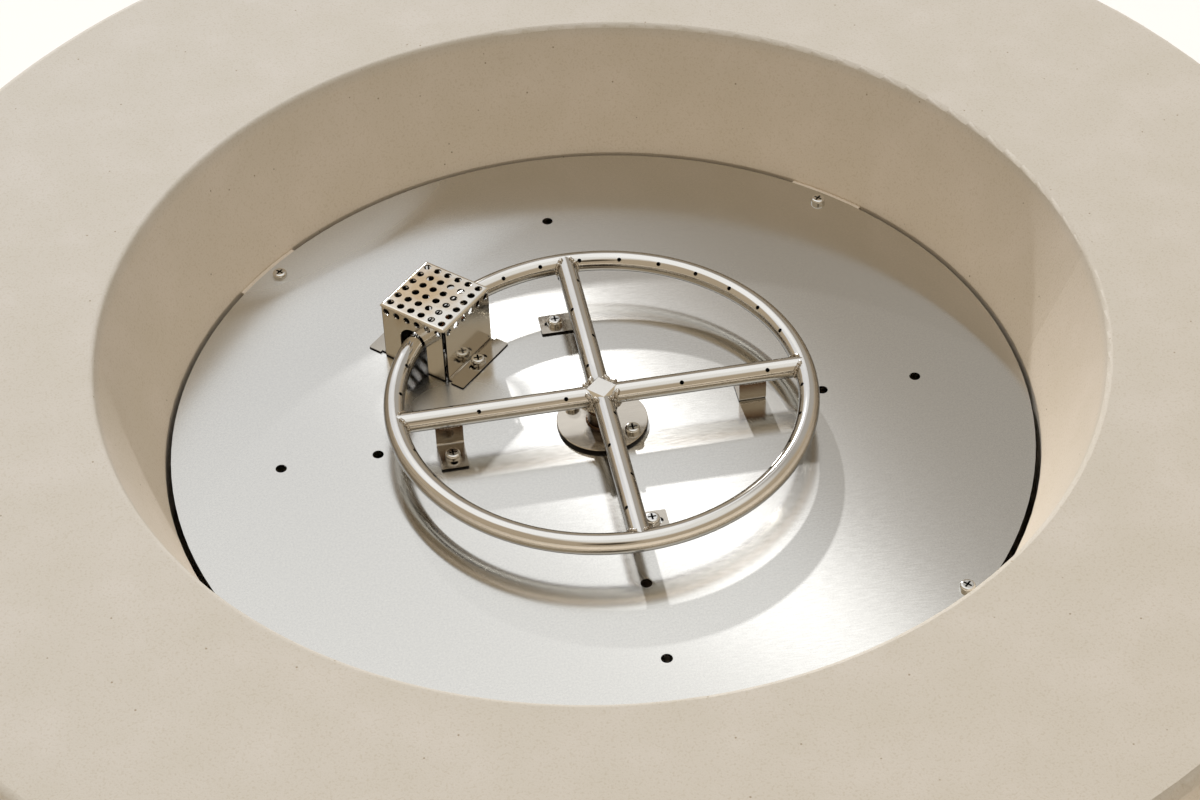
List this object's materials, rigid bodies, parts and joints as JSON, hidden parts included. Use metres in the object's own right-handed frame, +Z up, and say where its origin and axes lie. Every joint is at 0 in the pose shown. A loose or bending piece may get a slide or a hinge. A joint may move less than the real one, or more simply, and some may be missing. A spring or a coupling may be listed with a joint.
{
  "type": "fire bowl",
  "caption": "Round concrete fire bowl with a flat rim, a recessed steel burner pan, a tube ring burner on spokes, a perforated pilot box, and a knob and igniter in its side.",
  "frame": {"origin": "on the ground under the middle of the bowl", "axes": "+Z up; +X along the right-hand burner spoke of the picture; the control pocket is on the -Y side"},
  "size_m": [1.08, 1.0798, 0.45],
  "materials": {
    "cast_stone": "fine sandy glass-fibre concrete, honed, with pinholes",
    "pan_steel": "fine brushed stainless sheet",
    "tube_steel": "polished stainless tube, warm reflections",
    "sheet_steel": "bright stainless sheet",
    "screw_steel": "bright machine-screw steel",
    "zinc_steel": "zinc-plated steel",
    "brass": "machined brass",
    "glazed_insulator": "white glazed ceramic",
    "electrode_wire": "heat-resisting wire",
    "copper_sheath": "copper tube and sheath",
    "lead_sleeve": "woven glass sleeve",
    "corrugated_steel": "stainless flexible connector",
    "valve_alloy": "die-cast alloy",
    "black_knob": "black thermoset",
    "igniter_plastic": "black plastic"
  },
  "bodies": {
    "bowl": {"air_mixer": "brass", "bowl_shell": "cast_stone", "burner_flange": "sheet_steel", "burner_foot_back": "sheet_steel", "burner_foot_front": "sheet_steel", "burner_foot_left": "sheet_steel", "burner_foot_right": "sheet_steel", "burner_hub": "tube_steel", "burner_pan": "pan_steel", "burner_ring": "tube_steel", "connector_nuts": "brass", "control_plate": "sheet_steel", "control_screws": "screw_steel", "elbow_fitting": "brass", "electrode_lead": "lead_sleeve", "flame_sensor": "copper_sheath", "flange_screws": "screw_steel", "foot_screws": "screw_steel", "gas_connector": "corrugated_steel", "gas_orifice": "brass", "igniter_body": "igniter_plastic", "igniter_nut": "zinc_steel", "inlet_fitting": "brass", "inlet_pipe": "tube_steel", "pan_inserts": "brass", "pan_nuts": "zinc_steel", "pan_screws": "screw_steel", "pilot_box": "sheet_steel", "pilot_box_screws": "screw_steel", "pilot_plate": "sheet_steel", "pilot_plate_screws": "screw_steel", "pipe_lock_nut": "zinc_steel", "sensor_lead": "copper_sheath", "spark_electrode": "glazed_insulator", "spark_rod": "electrode_wire", "spoke_back": "tube_steel", "spoke_front": "tube_steel", "spoke_left": "tube_steel", "spoke_right": "tube_steel", "union_nut": "brass", "valve_body": "valve_alloy", "valve_bonnet": "zinc_steel", "valve_screws": "screw_steel", "wall_inserts": "brass", "washers": "screw_steel"},
    "rotor": {"valve_rotor": "brass"},
    "knob": {"control_knob": "black_knob", "valve_stem": "zinc_steel"},
    "button": {"igniter_button": "igniter_plastic"}
  },
  "joints": [
    {"name": "valve_turn", "type": "hinge", "parent": "bowl", "child": "rotor", "pos_m": [0.04, -0.505, 0.24], "axis": [0, -1, 0], "range_deg": [0, 180]},
    {"name": "knob_push", "type": "slide", "parent": "rotor", "child": "knob", "axis": [0, 1, 0], "range_m": [0, 0.003], "stiffness_N_per_m": 1500, "springref_m": -0.002},
    {"name": "igniter_push", "type": "slide", "parent": "bowl", "child": "button", "axis": [0, 1, 0], "range_m": [0, 0.0045], "stiffness_N_per_m": 1800, "springref_m": -0.002}
  ]
}
